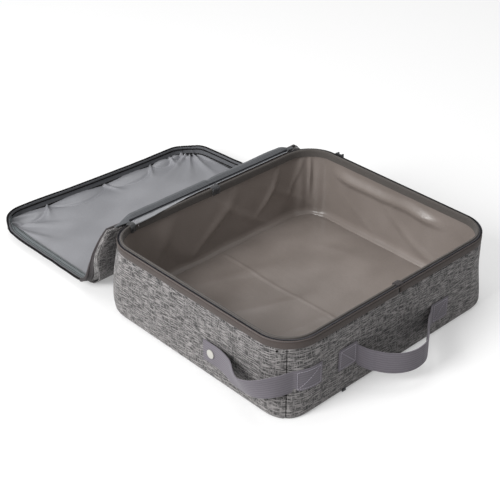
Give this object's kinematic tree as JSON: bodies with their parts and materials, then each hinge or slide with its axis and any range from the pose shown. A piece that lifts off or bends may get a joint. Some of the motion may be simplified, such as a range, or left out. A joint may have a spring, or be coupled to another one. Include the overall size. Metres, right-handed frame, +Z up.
{
  "type": "foldable litter box",
  "caption": "Soft rectangular fabric tray with rounded corners, lined inside, with a zip lid folded open behind, a webbing carry handle and a snap strap round one corner",
  "frame": {"origin": "middle of the tray's foot, on the floor", "axes": "+Z up; -Y out of the front wall, which has the carry handle; +Y towards the open lid; +X to the right seen from the front"},
  "size_m": [0.4303, 0.6858, 0.1188],
  "materials": {
    "heather_fabric": "heather grey slub weave, matte",
    "lining_film": "waterproof film, wrinkled satin",
    "lid_lining_film": "waterproof film, silver grey satin",
    "floor_board": "stiff sheet",
    "foam": "thin foam",
    "rim_tape": "plain brown grey tape",
    "hinge_tape": "plain slate tape",
    "rim_binding": "dark binding tape",
    "zip": "nylon coil",
    "webbing": "purple grey ribbed webbing",
    "snap_steel": "plain steel",
    "snap_cap": "pale lacquered cap",
    "zip_slider": "dark painted metal"
  },
  "bodies": {
    "base": {"floor_cover": "heather_fabric", "floor_board": "floor_board", "floor_lining": "lining_film", "wall_cover_front": "heather_fabric", "wall_cover_right": "heather_fabric", "wall_cover_back": "heather_fabric", "wall_cover_left": "heather_fabric", "wall_pad_front": "foam", "wall_pad_right": "foam", "wall_pad_back": "foam", "wall_pad_left": "foam", "wall_lining_front": "lining_film", "wall_lining_right": "lining_film", "wall_lining_back": "lining_film", "wall_lining_left": "lining_film", "corner_pad_front_left": "foam", "corner_pad_front_right": "foam", "corner_pad_back_right": "foam", "corner_pad_back_left": "foam"},
    "rim": {"rim_band_left": "rim_tape", "rim_band_right": "rim_tape", "rim_core_left": "foam", "rim_core_right": "foam", "rim_binding_left": "rim_binding", "rim_binding_right": "rim_binding", "rim_zip": "zip", "hinge_strip": "lining_film"},
    "lid_hinge_seam": {"lid_hinge_cord": "zip", "hinge_band": "hinge_tape"},
    "lid_near": {"lid_near_cover": "heather_fabric", "lid_near_pad": "foam", "lid_near_lining": "lid_lining_film", "lid_near_skirt_left": "heather_fabric", "lid_near_skirt_right": "heather_fabric", "lid_near_zip_left": "zip", "lid_near_zip_right": "zip"},
    "lid_far": {"lid_fold_cord": "zip", "lid_far_cover": "heather_fabric", "lid_far_pad": "foam", "lid_far_lining": "lid_lining_film", "lid_far_skirt": "heather_fabric", "lid_far_zip": "zip"},
    "handle_mount": {"handle_anchor_left": "webbing", "handle_anchor_right": "webbing"},
    "handle": {"handle_loop": "webbing"},
    "strap_mount": {"strap_patch": "webbing", "snap_stud": "snap_steel"},
    "strap": {"snap_strap": "webbing", "snap_socket": "snap_steel", "snap_cap": "snap_cap"},
    "slider": {"zip_slider": "zip_slider"},
    "pull": {"zip_pull": "zip_slider"}
  },
  "joints": [
    {"name": "collapse", "type": "slide", "parent": "base", "child": "rim", "axis": [0, 0, 1], "range_m": [-0.078, 0], "deforming": ["wall_cover_front", "wall_cover_right", "wall_cover_back", "wall_cover_left", "wall_pad_front", "wall_pad_right", "wall_pad_back", "wall_pad_left", "wall_lining_front", "wall_lining_right", "wall_lining_back", "wall_lining_left", "corner_pad_front_left", "corner_pad_front_right", "corner_pad_back_right", "corner_pad_back_left"]},
    {"name": "lid_hinge", "type": "hinge", "parent": "rim", "child": "lid_hinge_seam", "pos_m": [0, 0.178, 0.1175], "axis": [1, 0, 0], "range_deg": [0, 235.76]},
    {"name": "lid_rise", "type": "slide", "parent": "lid_hinge_seam", "child": "lid_near", "axis": [0, 0, 1], "range_m": [0, 0.0785], "deforming": ["lid_near_cover", "lid_near_pad", "lid_near_lining", "lid_near_skirt_left", "lid_near_skirt_right", "lid_near_zip_left", "lid_near_zip_right"]},
    {"name": "lid_fold", "type": "hinge", "parent": "lid_near", "child": "lid_far", "pos_m": [0, 0.232, 0.0051], "axis": [1, 0, 0], "range_deg": [-55.86, 0]},
    {"name": "handle_drop", "type": "slide", "parent": "base", "child": "handle_mount", "axis": [0, 0, 1], "range_m": [-0.0165, 0]},
    {"name": "handle_swing", "type": "hinge", "parent": "handle_mount", "child": "handle", "pos_m": [-0.063, -0.196, 0.054], "axis": [0.9896, 0, -0.1438], "range_deg": [-95, 0]},
    {"name": "strap_drop", "type": "slide", "parent": "base", "child": "strap_mount", "axis": [0, 0, 1], "range_m": [-0.0275, 0]},
    {"name": "strap_swing", "type": "hinge", "parent": "strap_mount", "child": "strap", "pos_m": [-0.17977, -0.16851, 0.055], "axis": [0, 0, 1], "range_deg": [0, 110]},
    {"name": "zip_run", "type": "slide", "parent": "rim", "child": "slider", "axis": [0, -1, 0], "range_m": [0, 0.236]},
    {"name": "pull_swing", "type": "hinge", "parent": "slider", "child": "pull", "pos_m": [0.205, 0.118, 0.11125], "axis": [0, 1, 0], "range_deg": [-165, 0]}
  ],
  "couplings": [
    {"joint": "lid_rise", "follows": "collapse", "ratio": -1},
    {"joint": "lid_fold", "follows": "lid_hinge", "ratio": -0.23652},
    {"joint": "handle_drop", "follows": "collapse", "ratio": 0.20513},
    {"joint": "strap_drop", "follows": "collapse", "ratio": 0.34615}
  ]
}
